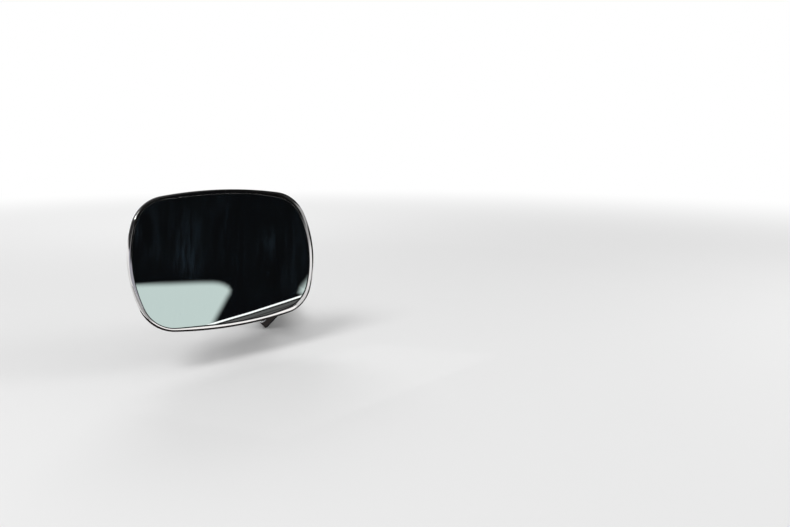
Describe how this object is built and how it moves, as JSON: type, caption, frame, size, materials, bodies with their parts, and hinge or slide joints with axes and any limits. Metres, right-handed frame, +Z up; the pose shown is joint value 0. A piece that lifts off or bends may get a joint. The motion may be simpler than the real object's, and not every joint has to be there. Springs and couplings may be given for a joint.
{
  "type": "car door mirror",
  "caption": "Left outside mirror of a car: a flat glass in a domed chrome head that turns by hand on a ball joint, carried by a pedestal screwed to the door.",
  "frame": {"origin": "centre of the foot, on the door's surface", "axes": "+X towards the inside of the car, +Y towards its front, +Z up; the glass faces back and in, towards the driver"},
  "size_m": [0.1262, 0.1896, 0.1183],
  "materials": {
    "chrome_casting": "bright chrome on a zinc casting",
    "bright_rim": "polished stainless sheet",
    "black_rubber": "matt",
    "mirror_glass": "silvered at the back, ground edge",
    "black_nylon": "moulded",
    "bare_steel": "turned and plated",
    "blackened_steel": "black oxide",
    "zinc_plate": "zinc plated"
  },
  "bodies": {
    "pedestal": {"pedestal": "chrome_casting", "ball_stud": "bare_steel", "set_screw": "blackened_steel", "base_gasket": "black_rubber", "door_bracket": "zinc_plate"},
    "seat": {"ball_seat": "black_nylon"},
    "head": {"head_shell": "chrome_casting", "bezel": "bright_rim", "glass_gasket": "black_rubber", "mirror_glass": "mirror_glass"}
  },
  "joints": [
    {"name": "head_yaw", "type": "hinge", "parent": "pedestal", "child": "seat", "pos_m": [-0.03181, -0.07285, 0.03865], "axis": [0, 0, 1], "range_deg": [-12, 12]},
    {"name": "head_pitch", "type": "hinge", "parent": "seat", "child": "head", "pos_m": [-0.03181, -0.07285, 0.03865], "axis": [0.8926, 0.4509, 0], "range_deg": [-9, 9]}
  ]
}
